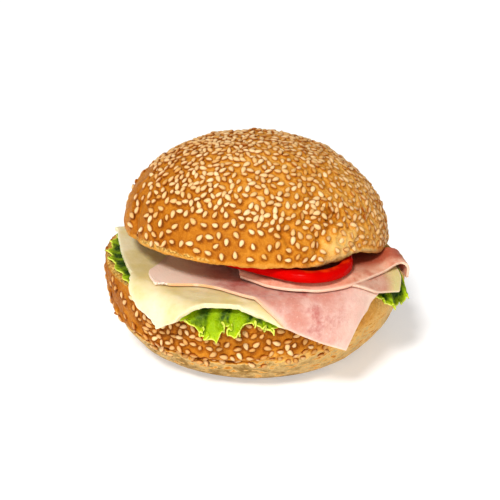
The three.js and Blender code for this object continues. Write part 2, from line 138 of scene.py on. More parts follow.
class Wire:
    """One socket of a material. Arithmetic on it adds Math nodes."""

    def __init__(self, tree, socket=None):
        self.tree = tree
        self.socket = socket

    def node(self, kind, settings=None, values=None, out=0):
        """Adds a node: its settings first, then the values or links of its sockets."""
        made = self.tree.nodes.new("ShaderNode" + kind)
        for key, value in (settings or {}).items():
            if key == "stops":
                elements = made.color_ramp.elements
                elements[0].position, elements[1].position = value[0][0], value[-1][0]
                for place, _ in value[1:-1]:
                    elements.new(place)
                for element, (_, shade) in zip(elements, value):
                    element.color = shade
            else:
                setattr(made, key, value)
        for key, value in (values or {}).items():
            if isinstance(value, Wire):
                self.tree.links.new(value.socket, made.inputs[key])
            else:
                made.inputs[key].default_value = value
        return Wire(self.tree, made.outputs[out])

    def maths(self, operation, a, b):
        return self.node("Math", {"operation": operation}, {0: a, 1: b})

    def __add__(self, other):
        return self.maths("ADD", self, other)

    def __sub__(self, other):
        return self.maths("SUBTRACT", self, other)

    def __rsub__(self, other):
        return self.maths("SUBTRACT", other, self)

    def __mul__(self, other):
        return self.maths("MULTIPLY", self, other)

    __radd__ = __add__
    __rmul__ = __mul__

    def attribute(self, name):
        return self.node("Attribute", {"attribute_name": name}, out=2)

    def spots(self, size, detail=2.0, rough=0.5, stretch=(1, 1, 1)):
        """Noise from 0 to 1 on the piece's own metres, with lumps of size millimetres."""
        place = self.node("TexCoord", out=3)
        scaled = self.node("Mapping", values={"Vector": place, "Scale": stretch})
        return self.node("TexNoise", values={"Vector": scaled, "Scale": 1 / (size * MM),
                                             "Detail": detail, "Roughness": rough})

    def window(self, x, low, high):
        """0 where x is under low, 1 where it is over high, smooth between."""
        return self.node("MapRange", {"interpolation_type": "SMOOTHSTEP"},
                         {"Value": x, "From Min": low, "From Max": high})

    def mix(self, mask, a, b):
        """The colour a where mask is 0 and b where it is 1."""
        return self.node("Mix", {"data_type": "RGBA"}, {0: mask, 6: a, 7: b}, out=2)

    def relief(self, height, depth):
        """A bump of depth millimetres where height goes from 0 to 1."""
        return self.node("Bump", values={"Height": height, "Distance": depth * MM, "Strength": 1.0})


def srgb(r, g, b):
    """A colour picked on screen, 0 to 255, as Blender's linear one."""
    return tuple((c / 12.92 if c <= 0.04045 else ((c + 0.055) / 1.055) ** 2.4)
                 for c in (r / 255, g / 255, b / 255)) + (1.0,)


def material(name, paint):
    """A material whose surface is what paint(wire) returns."""
    made = bpy.data.materials.new(name)
    made.use_nodes = True
    made.node_tree.nodes.clear()
    surface = paint(Wire(made.node_tree))
    output = made.node_tree.nodes.new("ShaderNodeOutputMaterial")
    made.node_tree.links.new(surface.socket, output.inputs["Surface"])
    return made


def finished(name, bm, skin, slot, *stands_for):
    """Makes the millimetre bmesh a smooth piece of the roll, in metres."""
    bmesh.ops.scale(bm, vec=(MM, MM, MM), verts=bm.verts)
    mesh = bpy.data.meshes.new(name)
    bm.to_mesh(mesh)
    bm.free()
    mesh.shade_smooth()
    mesh.materials.append(skin)
    piece = bpy.data.objects.new(name, mesh)
    bpy.context.collection.objects.link(piece)
    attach(piece, "root")
    if stands_for:
        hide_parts(*stands_for)
    return piece


def turned(profile, steps):
    """A closed body round a [radius, height] profile that starts and ends on the axis."""
    bm = bmesh.new()
    last = len(profile) - 1
    bmesh.ops.create_grid(bm, x_segments=steps, y_segments=last, size=0.5)
    for v in bm.verts:
        r, z = profile[round((v.co.y + 0.5) * last)]
        a = (v.co.x + 0.5) * 2 * math.pi
        v.co = (r * math.cos(a), r * math.sin(a), z)
    bmesh.ops.remove_doubles(bm, verts=bm.verts, dist=1e-4)
    bmesh.ops.recalc_face_normals(bm, faces=bm.faces)
    return bm


def scatter(surface, allow, gap, tries, rng):
    """Random [point, outward normal] pairs on a crust, none closer than the gap."""
    step = 1e-3
    cell = 5  # millimetres, more than any gap
    spots = []
    taken = {}
    for _ in range(tries):
        phi, a = rng.uniform(-math.pi, math.pi), rng.uniform(0.002, 0.998)
        if not allow(phi, a):
            continue
        here, room = surface(phi, a), gap(phi, a)
        i, j, k = (round(c / cell) for c in here)
        around = [other for x in (i - 1, i, i + 1) for y in (j - 1, j, j + 1)
                  for z in (k - 1, k, k + 1) for other in taken.get((x, y, z), ())]
        if any((here - other).length < room for other in around):
            continue
        taken.setdefault((i, j, k), []).append(here)
        along = surface(phi + step, a) - surface(phi - step, a)
        up = surface(phi, a - step) - surface(phi, a + step)
        spots.append((here, along.cross(up).normalized()))
    return spots


def seats(spots):
    """How far a point is from the middle of the nearest seed, as a function."""
    tree = kdtree.KDTree(len(spots))
    for i, (point, _) in enumerate(spots):
        tree.insert(point, i)
    tree.balance()
    return lambda point: tree.find(point)[2]


def bread(wire):
    """Crust and crumb: 'bake' is 0 floury, 1 brown, darker still with painted shade; 'crumb' is 1 on a
    cut face.
    """
    bake = wire.attribute("bake")
    crumb = wire.attribute("crumb")
    blotch = wire.spots(10, 3, 0.6)
    wrinkle = wire.spots(3.2, 3, 0.55)
    fine = wire.spots(1.1, 4, 0.65)
    freckle = wire.spots(0.5, 2, 0.5)
    level = bake + (blotch - 0.5) * 0.3 + (wrinkle - 0.5) * 0.22 + (fine - 0.5) * 0.24
    crust = wire.node("ValToRGB", {"stops": [
        (0.0, srgb(146, 110, 48)), (0.16, srgb(212, 178, 118)), (0.27, srgb(234, 184, 104)),
        (0.38, srgb(222, 160, 74)), (0.54, srgb(202, 132, 40)), (0.72, srgb(168, 98, 16)),
        (1.0, srgb(104, 50, 4))]}, {"Fac": level})
    crust = wire.mix(wire.window(freckle, 0.6, 0.72) * 0.22, crust, srgb(238, 184, 92))
    inside = wire.mix(wire.window(fine, 0.35, 0.65), srgb(206, 146, 60), srgb(238, 198, 120))
    pores = wire.window(wire.spots(1.3, 3, 0.6), 0.4, 0.55)
    skin_bump = wire.relief(wrinkle * 0.5 + fine * 0.4 + freckle * 0.15, 1.0)
    crumb_bump = wire.relief(pores, 0.8)
    normal = wire.node("Mix", {"data_type": "VECTOR"}, {0: crumb, 4: skin_bump, 5: crumb_bump}, out=1)
    return wire.node("BsdfPrincipled", values={
        "Base Color": wire.mix(crumb, crust, inside),
        "Roughness": 0.5 + (fine - 0.5) * 0.3 + crumb * 0.3,
        "Normal": normal, "Specular IOR Level": 0.1})


bread_skin = material("bread", bread)


def heel_shoulder(phi, a):
    """A point in the band of seeds; a is 0 at its top and 1 at its foot."""
    return heel_spot(phi, SEED_BAND_Z - SEED_BAND_DEEP * a)


def heel_has_seeds(phi, a):
    """Seeds stop at the seam. There are few at the left end and none at the right."""
    bare = max(0.97 * ramp(-2.3, -2.45, phi), ramp(-1.15, -0.95, phi) * ramp(0.6, 0.3, phi))
    above = SEED_BAND_Z - SEED_BAND_DEEP * a > seam_z(phi) + rng.uniform(-4, 2)
    return above and rng.random() > bare


def heel_gap(phi, a):
    return 2.35 + 0.4 * math.sin(3 * phi)


rng = random.Random(12)
side_seeds = scatter(heel_shoulder, heel_has_seeds, heel_gap, SIDE_TRIES, rng)
to_seed = seats(side_seeds)
heights = [HEEL_SIDE_Z * (i / HEEL_ROWS) ** 1.5 for i in range(HEEL_ROWS + 1)]
base = [(0, 0), (14, 0), (28, 0)]
side = [(heel_side(z), z) for z in heights]
rim = [(58.2, 35.55), (57.6, 35.85), (56.8, 35.98)]
cut = [(r, heel_top(r)) for r in (55, 52, 48, 42, 34, 24, 12, 0)]
bm = turned([*base, *side, *rim, *cut], HEEL_STEPS)
bake = bm.verts.layers.float.new("bake")
crumb = bm.verts.layers.float.new("crumb")
for v in bm.verts:
    r, z, phi = math.hypot(v.co.x, v.co.y), v.co.z, math.atan2(v.co.y, v.co.x)
    on_cut = z > 30 and r < heel_side(z) - 0.7
    seed_shadow = 0
    if on_cut:
        grow = 1 + heel_bulge(phi, z) * ramp(30, 50, r) / max(r, 1)
        v.co = (v.co.x * grow, v.co.y * grow, z + 0.25 * cloud(v.co.x, v.co.y, 0, 3))
    elif z > 0.01:
        v.co = heel_spot(phi, z)
        gap = to_seed(v.co)
        # Painted shadow: the crust is darkened just under each seed.
        seed_shadow = ramp(2.3, 1.3, to_seed(v.co + HEEL_SHADE))
        mound = 0.45 * bell((gap - 1.9) / 0.7) - 0.3 * ramp(1.5, 0.8, gap)
        v.co += Vector((math.cos(phi), math.sin(phi), 0)) * mound
    wobble = 3.2 * cloud(v.co.x, v.co.y, z, 8) + 1.6 * cloud(v.co.x, v.co.y, z, 2.4)
    soft = 2.6 + 4.5 * ramp(0.2, 0.95, math.cos(phi + 0.5))
    brown = ramp(-soft, soft, z - seam_z(phi) - wobble)
    pits = ramp(0.36, 0.5, cloud(v.co.x, v.co.y, 2.4 * z, 2.8, 2)) * ramp(2, 6, z)
    # Painted shade in the groove along the seam at the left.
    seam_shade = 0.7 * bell((z - seam_z(phi) + 0.7) / 0.7) * ramp(0.3, 0.8, math.cos(phi + 2.55))
    floury = 0.08 * cloud(v.co.x, v.co.y, 1.5 * z, 5)
    right = bell(turn(phi + 0.5) / 0.7)
    pale_right = 0.46 * bell(turn(phi + 0.45) / 0.5)
    dark_left = 0.1 * bell(turn(phi + 2.8) / 0.5)
    dark_base = 0.1 * ramp(6, 0, z)
    # The two dimples are darkened with painted shade.
    v[bake] = (0.07 + floury * (1 - brown) + 0.12 * right + 0.54 * brown
               + 0.44 * (1 - brown) * pits - pale_right * brown + seam_shade - dark_base
               + 0.2 * seed_shadow * brown + dark_left * brown + 0.4 * dimpled(phi, z))
    v[crumb] = 1.0 if on_cut else 0.0
finished("bottom_half", bm, bread_skin, "bread", "heel")


# ---- Top half of the roll ---------------------------------------------------
# The domed lid, baked golden and cut from the bottom half. Its crust is folded
# at the left, creased and crumpled at the right, and arches over the pepper.
CROWN_R = 51.0
CROWN_H = 37.6
CROWN_ROUND = 2.07  # power of the dome's curve
CROWN_UNDER_R = 48.5
CROWN_DISH = 5.0  # how far the underside rises in the middle
CROWN_LIP = 0.6  # how far the edge of the underside hangs below the dome
CROWN_MEAN_R = 46  # turns an angle into a length along the crust
CROWN_ROWS = 120
CROWN_STEPS = 480
CROWN_SHADE = Vector((-0.15, 0.1, 0.4))  # from the darkest point of a seed's painted shadow to the seed above it
CROWN_TRIES = 26000
CROWN_PLACE = (Matrix.Translation((0.1, -2.7, 45.8)) @ Matrix.Rotation(math.radians(2.9), 4, "Y")
               @ Matrix.Rotation(math.radians(-7), 4, "X"))
CREASES = [  # depth, half width, and the [angle, height] points the crease runs through
    (1.3, 1.3, [(-0.94, 18.4), (-1.02, 13.0), (-1.11, 8.4), (-1.12, 4.0), (-1.18, 0.0)]),
    (0.9, 1.1, [(-0.70, 7.0), (-0.75, 4.5), (-0.83, 1.0)]),
    (0.9, 0.7, [(-1.40, 12.0), (-1.36, 9.6), (-1.33, 5.0)]),
    (0.8, 1.6, [(-1.16, 17.5), (-1.0, 15.0), (-0.86, 17.0)]),
    (1.1, 0.9, [(-2.84, 24.0), (-2.88, 15.6), (-2.76, 8.0), (-2.66, 2.0)])]


def crease(phi, z):
    """How deep the crust is creased here, 0 to about 1.3 mm."""
    deep = 0
    here = Vector((CROWN_MEAN_R * phi, z))
    for depth, width, path in CREASES:
        for (a, low), (b, high) in zip(path, path[1:]):
            start = Vector((CROWN_MEAN_R * a, low))
            run = Vector((CROWN_MEAN_R * (b - a), high - low))
            t = min(1, max(0, (here - start).dot(run) / run.length_squared))
            deep = max(deep, depth * bell((here - start - run * t).length / width))
    return deep


def dome_z(from_top):
    """Height in the dome; from_top is 0 at the top and 1 at the cut edge."""
    return CROWN_H * math.cos(math.radians(89) * from_top) ** 0.97


def crown_side(z):
    """Radius of the dome at height z."""
    return CROWN_R * (1 - min(1, max(0, z / CROWN_H)) ** CROWN_ROUND) ** (1 / CROWN_ROUND)


def crown_bulge(phi, z):
    """How far the dome stands out from an even round."""
    soft = (0.5 * math.sin(2 * phi + 1.0) + 0.35 * math.sin(5 * phi + 0.08 * z)
            + 0.3 * math.sin(3 * phi - 0.1 * z))
    fold = -1.0 * bell(turn(phi + 2.7) / 0.05) * ramp(30, 12, z)
    dent = (-1.1 * bell(turn(phi + 0.98 + 0.012 * z) / 0.06) * ramp(28, 16, z)
            - 0.8 * bell(turn(phi + 0.72) / 0.09) * bell((z - 1) / 5))
    flat = -1.3 * bell(turn(phi) / 0.7) * bell((z - 26) / 10)
    boxy = 0.8 * bell(turn(phi + 0.25) / 0.32) * bell((z - 3) / 8)
    return ramp(-1, 3, z) * soft * ramp(38, 25, z) + fold + dent + flat + boxy


def rim_lift(phi, z):
    """The rim arches up over the pepper and dips beside it."""
    return (2.4 * bell(turn(phi + 0.72) / 0.2) - 1.7 * bell(turn(phi + 0.2) / 0.28)) * bell(z / 7)


def torn(phi, z):
    """1 on the strip at the left where the rim is torn and pale crumb shows."""
    high = 2.2 * bell((phi + 2.42) / 0.26) + 0.9 * bell((phi + 2.0) / 0.2)
    ragged = 1.1 * cloud(50 * phi, 3, 0, 3)
    return ramp(0.4, -0.4, z - high - ragged * min(1, high)) if high > 0.15 else 0


def crown_spot(phi, from_top):
    """A point on the dome; from_top is 0 at the top and 1 at the cut edge."""
    z = dome_z(from_top)
    r = crown_side(z)
    r += crown_bulge(phi, z) * ramp(0, 20, r) - crease(phi, z) - 0.35 * torn(phi, z)
    x, y = r * math.cos(phi), r * math.sin(phi)
    crumple = bell(turn(phi + 0.9) / 0.4) * bell((z - 15) / 10)
    rough = (0.35 * cloud(x, y, z, 13) + 0.32 * cloud(x, y, z, 4.5, 2)
             - 2.4 * crumple * abs(cloud(x, y, z, 5, 2)))
    edge = (0.5 * cloud(x, y, 7.7, 4, 2) + 0.55 * cloud(x, y, 2.2, 1.5, 2)) * bell(z / 2)
    grow = 1 + rough / max(r, 20)
    return CROWN_PLACE @ Vector((x * grow, y * grow,
                                 z + rim_lift(phi, z) + edge + rough * ramp(20, 38, z)))


def even_dome(phi, a):
    """Spreads spots over the dome by area."""
    return crown_spot(phi, math.sqrt(a) * (0.86 + 0.14 * a))


def crown_has_seeds(phi, a):
    """None on the smooth left lobe, the patch low on the right and the rim."""
    down = math.sqrt(a)
    lobe = bell(turn(phi + 3.04) / 0.36) * ramp(0.44, 0.74, down) > 0.1 + 0.6 * rng.random()
    left = bell(turn(phi + 2.62) / 0.24) * ramp(0.62, 0.8, down) > rng.random()
    patch = abs(turn(phi + 0.9) / 0.17) < 1 and down > 0.86 and rng.random() > 0.1
    return not (lobe or left or patch or down > 0.985)


def crown_gap(phi, a):
    """Seeds lie close at the top and right, thinner low at the front."""
    front = bell(turn(phi + 1.9) / 0.9)
    patchy = cloud(3 * math.cos(phi), 3 * math.sin(phi), 4 * a, 1)
    return 2.05 + 0.4 * a + 1.1 * front * ramp(0.55, 0.9, a) + 0.5 * patchy


def crown_hollow(r):
    """Height of the dished underside at radius r, over its edge."""
    return CROWN_DISH * (1 - (r / CROWN_UNDER_R) ** 5)


top_seeds = scatter(even_dome, crown_has_seeds, crown_gap, CROWN_TRIES, rng)
to_seed = seats(top_seeds)
rows = [i / CROWN_ROWS for i in range(CROWN_ROWS + 1)]
row_at = {round(dome_z(row), 3): row for row in rows}
dome = [(crown_side(dome_z(row)), dome_z(row)) for row in rows]
rim = [(50.6, -0.5), (49.9, -0.95), (49.1, -1.0)]
under = [(r, crown_hollow(r) - CROWN_LIP) for r in (47, 44, 40, 34, 26, 16, 8, 0)]
bm = turned([*dome, *rim, *under], CROWN_STEPS)
bake = bm.verts.layers.float.new("bake")
crumb = bm.verts.layers.float.new("crumb")
for v in bm.verts:
    r, z, phi = math.hypot(v.co.x, v.co.y), v.co.z, math.atan2(v.co.y, v.co.x)
    from_top = row_at.get(round(z, 3)) if r >= crown_side(z) - 0.05 else None
    seed_shadow = 0
    if from_top is not None:
        v.co = crown_spot(phi, from_top)
        gap = to_seed(v.co)
        # Painted shadow: the crust is darkened just under each seed.
        seed_shadow = ramp(1.9, 1.1, to_seed(v.co + CROWN_SHADE))
        outward = Vector((r * math.cos(phi), r * math.sin(phi), 1.6 * z)).normalized()
        v.co += outward * 0.3 * bell((gap - 1.3) / 0.8)
        v[crumb] = torn(phi, z)
    else:
        wide = r + (crown_bulge(phi, 0) if r > 49 else 0)
        sunk = ramp(8, 28, v.co.y) * crown_hollow(r) if r < 45 else 0
        lift = rim_lift(phi, 0) if r > 45 else 0
        rough = 0.35 * cloud(v.co.x, v.co.y, 3, 3.5)
        v.co = CROWN_PLACE @ Vector((wide * math.cos(phi), wide * math.sin(phi), z - sunk + lift + rough))
        v[crumb] = ramp(50.5, 49.8, r)
    left = bell(turn(phi + 2.9) / 0.8)
    low_front = bell(turn(phi + 1.9) / 0.7) * ramp(26, 10, z)
    pale = max(bell(turn(phi + 0.86) / 0.3) * ramp(17, 6, z),
               0.6 * bell(turn(phi + 0.35) / 0.75) * ramp(38, 18, z))
    # The creases are darkened with painted shade, more where they are deeper.
    v[bake] = (0.5 + 0.12 * left - 0.3 * pale - 0.2 * ramp(1.6, 0, z) - 0.1 * ramp(20, 34, z)
               + 0.13 * low_front + 0.24 * seed_shadow * (1 - 0.4 * pale) + 0.12 * crease(phi, z))
finished("top_half", bm, bread_skin, "bread", "crown")


# ---- Sesame seeds -----------------------------------------------------------
# Hulled seeds, sprinkled on the wet dough and baked in. Those on the top half
# stand proud and cream; those round the bottom half are sunk in and toasted.
SEED_LONG = 3.0
SEED_WIDE = 1.9
SEED_HIGH = 1.4
SEED_AROUND = 11
SEED_RINGS = 7
SEED_TILT = 0.16  # radians


def seed_coat(wire):
    """Cream to gold as 'tone' says, seed by seed; 'toast' browns its foot as painted shade, and toasted
    seeds all over.
    """
    tone = wire.attribute("tone")
    toast = wire.attribute("toast")
    top = wire.mix(tone, srgb(240, 208, 158), srgb(216, 162, 86))
    coat = wire.mix(toast, top, srgb(156, 84, 4))
    grain = wire.spots(0.5, 3, 0.6)
    return wire.node("BsdfPrincipled", values={
        "Base Color": coat, "Roughness": 0.36 + grain * 0.2,
        "Normal": wire.relief(grain, 0.12), "Specular IOR Level": 0.3})


seed_skin = material("sesame", seed_coat)


def seeds(name, spots, sunk, browned, rng):
    """One joined mesh of teardrop seeds lying on the crust at the spots. They are
    sunk(phi) millimetres deep and as toasted as browned(phi) says, 0 to 1."""
    whole = bmesh.new()
    one = bpy.data.meshes.new("one seed")
    for point, normal in spots:
        phi = math.atan2(point.y, point.x)
        toasted = browned(phi)
        shade = min(1, max(0, rng.gauss(0.3 + 0.4 * toasted, 0.24)))
        grow = rng.uniform(0.84, 1.1)
        bm = bmesh.new()
        tone = bm.verts.layers.float.new("tone")
        toast = bm.verts.layers.float.new("toast")
        bmesh.ops.create_uvsphere(bm, u_segments=SEED_AROUND, v_segments=SEED_RINGS, radius=0.5)
        for v in bm.verts:
            t = v.co.y + 0.5
            v[tone] = shade
            # Painted shade darkens each seed towards its foot on the crust; toasted seeds are also
            # browned all over.
            v[toast] = min(1, ramp(0.46, 0.0, v.co.z) * 0.95 + 0.25 * toasted * shade)
            v.co.x *= 1.16 - 0.5 * t * t
            v.co.y += 0.1 * t ** 3
        tilt = (Matrix.Rotation(rng.gauss(0, SEED_TILT), 4, "X")
                @ Matrix.Rotation(rng.gauss(0, SEED_TILT), 4, "Y"))
        size = Matrix.Diagonal((SEED_WIDE * grow, SEED_LONG * grow, SEED_HIGH * grow, 1))
        lie = normal.to_track_quat("Z", "Y").to_matrix().to_4x4()
        spin = Matrix.Rotation(rng.uniform(0, 2 * math.pi), 4, "Z")
        deep = sunk(phi) * rng.uniform(0.8, 1.2)
        place = Matrix.Translation(point + normal * (SEED_HIGH * grow * 0.5 - deep))
        bm.transform(place @ lie @ spin @ tilt @ size)
        bm.to_mesh(one)
        bm.free()
        whole.from_mesh(one)
    bpy.data.meshes.remove(one)
    finished(name, whole, seed_skin, "bread")


seeds("seeds_on_top", top_seeds, lambda phi: 0.32 + 0.3 * bell(turn(phi + 0.3) / 0.9),
      lambda phi: 0.45 * bell(turn(phi - 2.9) / 0.9) + 0.55 * bell(turn(phi + 0.3) / 0.9), rng)
seeds("seeds_on_side", side_seeds, lambda phi: 0.55, lambda phi: 0.8, rng)


# ---- Lettuce ----------------------------------------------------------------
# Torn frilly leaves laid on the cut face. Under the cheese they lie flat;
# outside it their toothed edges curl over the rim of the bread.
DRAPE_S = 56.5  # where a sheet starts to bend down, along it from the roll's middle
DRAPE_R = 3.5  # radius of the bend
LEAF_T = 0.6
LEAF_H = 1.05  # height of the leaf's middle over the bread
LEAF_INNER = 17.0
LEAF_FLAT = 0.4  # share of the rows that lie on the bread
LEAF_ROWS = 46
LEAF_TEETH = 59
VEIN_CELLS = 520.0  # to a metre


def bump(x, y, at_x, at_y, width):
    return bell(math.hypot(x - at_x, y - at_y) / width)


def swell(x, y):
    """How far the lettuce pushes cheese and ham up."""
    return (1.4 * bump(x, y, -12, -58, 13) + 0.9 * bump(x, y, -40, -36, 14)
            + 0.3 * (1 + math.sin(0.13 * x + 0.09 * y)) * bump(x, y, 0, -30, 45))


def drape(x, y, h, most=84.0, bend=DRAPE_R, held=0.0):
    """Lays the flat point (x, y) at height h on the bread, bent down round its rim by
    most degrees. The bend starts further out where the sheet is held out."""
    s = math.hypot(x, y)
    start = DRAPE_S + held
    top = heel_top(min(s, start))
    if s <= start:
        return Vector((x, y, top + h))
    a = min((s - start) / bend, math.radians(most))
    rest = s - start - bend * a
    r = start + (bend + h) * math.sin(a) + rest * math.cos(a)
    z = top - bend + (bend + h) * math.cos(a) - rest * math.sin(a)
    return Vector((x / s * r, y / s * r, z))


def spread(at, columns, rows, raised=None):
    """A grid laid by at(u, v). Its UV map keeps u and v, its 'raised' is raised(u, v)."""
    bm = bmesh.new()
    flat = bm.loops.layers.uv.new("flat")
    mark = bm.verts.layers.float.new("raised")
    bmesh.ops.create_grid(bm, x_segments=columns, y_segments=rows, size=0.5)
    for v in bm.verts:
        u, w = v.co.x + 0.5, v.co.y + 0.5
        for loop in v.link_loops:
            loop[flat].uv = (u, w)
        v[mark] = raised(u, w) if raised else 0
        v.co = at(u, w)
    bm.normal_update()
    return bm


def thicken(piece, thick, edge=0.0):
    """Gives a sheet its thickness, and rounds its cut edge where edge isn't 0."""
    solid = piece.modifiers.new("thickness", "SOLIDIFY")
    solid.thickness = thick * MM
    solid.offset = 0
    if edge:
        rounded = piece.modifiers.new("cut edge", "BEVEL")
        rounded.width = edge * MM
        rounded.segments = 2
        rounded.limit_method = "ANGLE"
        rounded.angle_limit = math.radians(50)


def leaf_green(wire):
    """Dark green in hollows and under the cheese, yellow-green on ridges: painted shade and light; pale
    along its edge.
    """
    place = wire.node("UVMap", {"uv_map": "flat"})
    reach = wire.node("SeparateXYZ", values={0: place}, out=1)
    raised = wire.attribute("raised")
    patch = wire.spots(5, 3, 0.6)
    fine = wire.spots(1.3, 3, 0.6)
    cells = wire.node("TexVoronoi", {"feature": "DISTANCE_TO_EDGE"},
                      {"Vector": wire.node("TexCoord", out=3), "Scale": VEIN_CELLS})
    vein = 1 - wire.window(cells, 0.02, 0.2)
    light = wire.window(raised + (patch - 0.5) * 0.7 + (fine - 0.5) * 0.4, 0.1, 0.95)
    green = wire.mix(light, srgb(22, 60, 0), srgb(146, 174, 4))
    # Painted light: the leaf is lighter towards its edge, out past the cheese's shade.
    near_edge = wire.window(reach + (fine - 0.5) * 0.2, 0.8, 1.0)
    green = wire.mix(near_edge * 0.75, green, srgb(186, 208, 22))
    green = wire.mix(vein * 0.07, green, srgb(196, 214, 70))
    # A pale line along the edge: the leaf's own pale rim, with a painted highlight where the edge curls.
    green = wire.mix(wire.window(reach, 0.965, 0.99) * 0.8, green, srgb(226, 230, 110))
    normal = wire.relief(fine * 0.5 - vein * 0.12 + patch * 0.5, 0.6)
    return wire.node("BsdfPrincipled", values={
        "Base Color": green, "Roughness": 0.36 + patch * 0.15, "Normal": normal,
        "Specular IOR Level": 0.14, "Subsurface Weight": 0.15,
        "Subsurface Radius": (0.4, 0.8, 0.1), "Subsurface Scale": 0.002})


leaf_skin = material("lettuce", leaf_green)


def leaf(name, start, end, columns, edge, free, most, turns, shift, high, curl, bite, light):
    """A ruffled leaf from angle start to end, in degrees. edge(phi) is how far it
    reaches, free(phi) where it comes out from under the cheese and starts to
    ruffle, and most(phi) how far it bends down. It has about turns / 2 pi folds to
    a radian, moved on by shift and high millimetres high; curl sizes its frills,
    its teeth bite millimetres deep, and light is how light its green is, 0 to 1."""
    def folds(a, v):
        """The long folds and the small frills on them, each -1 to 1, and the frills' turn."""
        wave = math.sin(a * turns + shift + 1.2 * v + 0.8 * math.sin(a * turns * 0.37))
        frill_turn = a * turns * 2.7 + 1.8 * wave + shift
        return wave, math.sin(frill_turn), frill_turn

    def at(u, v):
        phi = start + (end - start) * u
        a = math.radians(phi)
        wave, frill, frill_turn = folds(a, v)
        tip = min(1, 1.25 * math.sqrt(max(0, math.sin(math.pi * u))))
        out = 57 + (edge(phi) - 57) * tip + 0.6 * wave * tip
        flat_to = min(56, out - 3)
        s = LEAF_INNER + (flat_to - LEAF_INNER) * v / LEAF_FLAT
        if v > LEAF_FLAT:
            s = flat_to + (out - flat_to) * (v - LEAF_FLAT) / (1 - LEAF_FLAT)
        loose = ramp(free(phi), free(phi) + 4, s)
        teeth = bite * (0.55 - abs(math.sin(a * LEAF_TEETH + 1.1 * frill))) * tip
        ragged = 0.8 * cloud(60 * math.cos(a), 60 * math.sin(a), 4.4, 1.7, 2)
        s += (teeth + ragged) * loose * ramp(0.84, 1.0, v)
        x, y = s * math.cos(a), s * math.sin(a)
        lift = high * ramp(free(phi), free(phi) + 5, s)
        h = LEAF_H + (0.55 + 0.45 * wave) * lift + 0.3 * swell(x, y) * ramp(52, 57, s)
        spot = drape(x, y, h, most(phi), DRAPE_R + 0.8)
        crisp = loose * (0.7 * curl * frill * ramp(0.7, 1, v) + 0.5 * cloud(x, y, 3.3, 2.2, 2)
                         + 0.9 * curl * ramp(0.88, 1.0, v))
        lean = loose * ramp(0.7, 1.0, v) * 1.1 * curl * math.cos(frill_turn)
        outward = Vector((math.cos(a), math.sin(a), 0.8)).normalized()
        around = Vector((-math.sin(a), math.cos(a), 0))
        return spot + outward * max(-0.4, crisp) + around * lean

    # Painted light and shade: lighter on the ridges of the folds and frills, darker in their hollows and
    # under the cheese, round the leaf's own lightness.
    def raised(u, v):
        wave, frill, _ = folds(math.radians(start + (end - start) * u), v)
        return light + 0.34 * wave + 0.36 * frill * ramp(0.6, 0.95, v) - 0.25 * ramp(0.8, 0.6, v)

    bm = spread(at, columns, LEAF_ROWS, raised)
    thicken(finished("leaf_" + name, bm, leaf_skin, "lettuce", "lettuce_" + name), LEAF_T)


def front_edge(phi):
    """Hanging lobes with notches between them."""
    hang = sum(deep * bell((phi - at) / wide) for deep, at, wide in (
        (1.6, -118, 2.4), (-2.2, -113.5, 1.8), (1.4, -106, 2.8), (-2.2, -99.5, 1.4), (1.6, -95, 2.0),
        (-1.2, -90.5, 1.4), (1.0, -86, 2.0)))
    return 63.4 + 3.6 * bell((phi + 104) / 6) + 2 * bell((phi + 116) / 5) + hang


def left_free(phi):
    return 54.4 + 4 * bell((phi - 163) / 9) + 7 * ramp(192, 215, phi) - 3 * ramp(152, 140, phi)


def right_edge(phi):
    """Reaches out beside the ham only; the rest stays behind it."""
    return 57.4 + 11.6 * bell((phi + 34) / 10) - 2.2 * ramp(-20, -8, phi) - 7 * ramp(-6, 6, phi)


leaf("left", 221, 112, 342, edge=lambda phi: 56.8 + 3.2 * ramp(206, 220, phi), free=left_free,
     most=lambda phi: 75, turns=41, shift=0.4, high=1.0, curl=0.6, bite=0.8, light=0.5)
leaf("front", -72.5, -121, 234, edge=front_edge,
     free=lambda phi: 59.5 + 7 * ramp(-88, -78, phi) + 6 * ramp(-110, -119, phi),
     most=lambda phi: 80, turns=38, shift=0.6, high=3.0, curl=1.3, bite=2.6, light=0.7)
# Its green is kept dark, light=0.2, as painted shade behind the ham.
leaf("right", 60, -56, 360, edge=right_edge, free=lambda phi: 59 - 9 * ramp(-6, 8, phi),
     most=lambda phi: 74 - 24 * ramp(-15, 20, phi), turns=29, shift=1.2, high=2.1, curl=0.8,
     bite=0.9, light=0.2)


# ---- Cheese slice -----------------------------------------------------------
# One slice of mild cheese, cut square. It lies on the lettuce, sags over it at
# the front, and one corner hangs down the side of the bread at the left.
CHEESE_T = 1.8
CHEESE_H = 2.95  # height of its middle over the bread


def spline(points):
    """A smooth curve through the points, as a function of its length from 0 to 1."""
    steps = 24
    samples = []
    last = len(points) - 1
    for i in range(last):
        p0, p1, p2, p3 = (Vector(points[k]) for k in (max(0, i - 1), i, i + 1, min(last, i + 2)))
        for k in range(steps):
            t = k / steps
            before, after = (p2 - p0) * 0.5, (p3 - p1) * 0.5
            samples.append((2 * p1 - 2 * p2 + before + after) * t ** 3
                           + (-3 * p1 + 3 * p2 - 2 * before - after) * t * t + before * t + p1)
    samples.append(Vector(points[-1]))
    lengths = [0.0]
    for a, b in zip(samples, samples[1:]):
        lengths.append(lengths[-1] + (b - a).length)

    def at(t):
        goal = min(1, max(0, t)) * lengths[-1]
        low, high = 0, len(lengths) - 1
        while high - low > 1:
            middle = (low + high) // 2
            low, high = (middle, high) if lengths[middle] <= goal else (low, middle)
        return samples[low].lerp(samples[high], (goal - lengths[low]) / (lengths[high] - lengths[low]))
    return at


